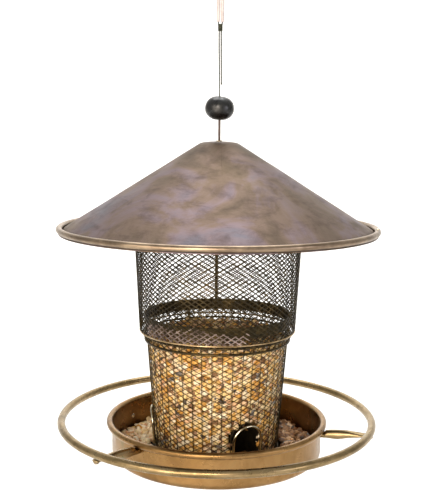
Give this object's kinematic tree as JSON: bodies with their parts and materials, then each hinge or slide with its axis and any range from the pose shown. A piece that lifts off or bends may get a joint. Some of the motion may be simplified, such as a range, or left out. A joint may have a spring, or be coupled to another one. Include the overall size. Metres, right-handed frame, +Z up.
{
  "type": "hanging bird feeder",
  "caption": "Hanging bird feeder: conical roof over a two-tier wire seed cage that telescopes, a rimmed seed tray with arched feeding ports, and a round perch ring, on a cable with a stop bead.",
  "frame": {"origin": "inside top of the hanging loop, where a hook bears; the feeder's axis runs straight down from it", "axes": "+Z up along the feeder's axis, +X to the right seen from the front, -Y towards the viewer of the front"},
  "size_m": [0.282, 0.282, 0.4207],
  "materials": {
    "roof_bronze": "aged pewter bronze, brushed and satin",
    "cage_bronze": "dark oil-rubbed bronze, satin",
    "tray_bronze": "warm bronze, satin",
    "perch_bronze": "pewter bronze, satin",
    "cable_steel": "stranded steel",
    "cable_jacket": "brown coating",
    "loop_sleeve": "pale vinyl sleeve",
    "crimp_dark": "dark crimped ferrule",
    "bead_black": "black lacquer, satin",
    "eyelet_pale": "pale eyelet",
    "fastener_bright": "bright, lightly tarnished",
    "mixed_seed": "mixed dry seed, matte"
  },
  "bodies": {
    "cage": {"upper_mesh": "cage_bronze", "top_hoop": "cage_bronze", "lip_ring": "cage_bronze", "upper_seam": "cage_bronze", "hanger_bar": "cage_bronze", "bar_rivet_left": "fastener_bright", "bar_rivet_right": "fastener_bright", "anchor_washer": "cable_steel", "cable_anchor": "cable_steel", "cable_jacketed": "cable_jacket", "cable_bare": "cable_steel", "cable_tail": "cable_steel", "crimp_ferrule": "crimp_dark", "hang_loop": "loop_sleeve"},
    "roof": {"roof_cone": "roof_bronze", "roof_rim": "roof_bronze", "apex_grommet": "eyelet_pale", "rim_rivet": "fastener_bright"},
    "bead": {"stop_bead": "bead_black"},
    "tray": {"lower_mesh": "cage_bronze", "collar_band": "cage_bronze", "stop_ring": "cage_bronze", "lower_seam": "cage_bronze", "foot_ring": "cage_bronze", "port_frame_1": "fastener_bright", "port_frame_2": "fastener_bright", "port_frame_3": "fastener_bright", "port_hood_1": "cage_bronze", "port_hood_2": "cage_bronze", "port_hood_3": "cage_bronze", "tray_dish": "tray_bronze", "perch_ring": "perch_bronze", "spoke_1": "perch_bronze", "spoke_2": "perch_bronze", "spoke_3": "perch_bronze", "spoke_bolt_1": "fastener_bright", "spoke_bolt_2": "fastener_bright", "spoke_bolt_3": "fastener_bright", "ring_rivet_1": "fastener_bright", "ring_rivet_2": "fastener_bright", "ring_rivet_3": "fastener_bright", "foot_screw_1": "fastener_bright", "foot_screw_2": "fastener_bright", "foot_screw_3": "fastener_bright", "foot_nut_1": "fastener_bright", "foot_nut_2": "fastener_bright", "foot_nut_3": "fastener_bright", "seed_fill": "mixed_seed", "tray_seed": "mixed_seed", "tray_rivet": "fastener_bright"}
  },
  "joints": [
    {"name": "cage_telescope", "type": "slide", "parent": "cage", "child": "tray", "axis": [0, 0, 1], "range_m": [0, 0.085]},
    {"name": "roof_lift", "type": "slide", "parent": "cage", "child": "roof", "axis": [0, 0, 1], "range_m": [0, 0.04]},
    {"name": "bead_slide", "type": "slide", "parent": "roof", "child": "bead", "axis": [0, 0, 1], "range_m": [-0.0165, 0.013]}
  ]
}
